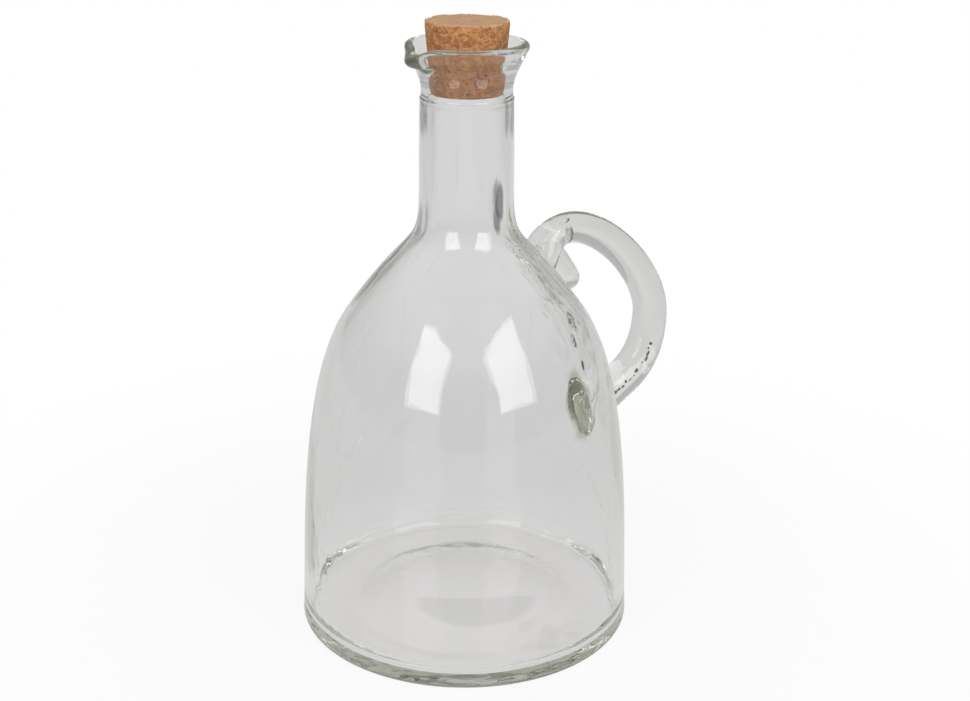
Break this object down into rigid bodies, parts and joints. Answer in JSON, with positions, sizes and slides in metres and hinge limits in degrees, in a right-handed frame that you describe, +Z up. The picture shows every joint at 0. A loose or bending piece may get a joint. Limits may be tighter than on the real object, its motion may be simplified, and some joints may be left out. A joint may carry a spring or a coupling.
{
  "type": "glass bottle",
  "caption": "Bell-shaped clear glass oil bottle with a long neck, a flared mouth with a pouring lip, a glass loop handle and a tapered cork that pulls out.",
  "frame": {"origin": "bottom centre of the whole object's box, on the plane that the bottle stands on; the bottle's own axis is upright and 15.7 mm towards -X from it, because the handle widens the box on one side", "axes": "+Z up along the bottle, +X towards the handle, -X towards the pouring lip"},
  "size_m": [0.1514, 0.12, 0.2162],
  "materials": {
    "clear_glass": "fire-polished, slightly wavy clear glass with a faint grey-green tint where it is thick",
    "cork": "matt pressed cork granules"
  },
  "bodies": {
    "bottle": {"glass_bottle": "clear_glass", "handle": "clear_glass"},
    "stopper": {"cork_stopper": "cork"}
  },
  "joints": [
    {"name": "stopper_pull", "type": "slide", "parent": "bottle", "child": "stopper", "axis": [0, 0, 1], "range_m": [0, 0.06]}
  ]
}
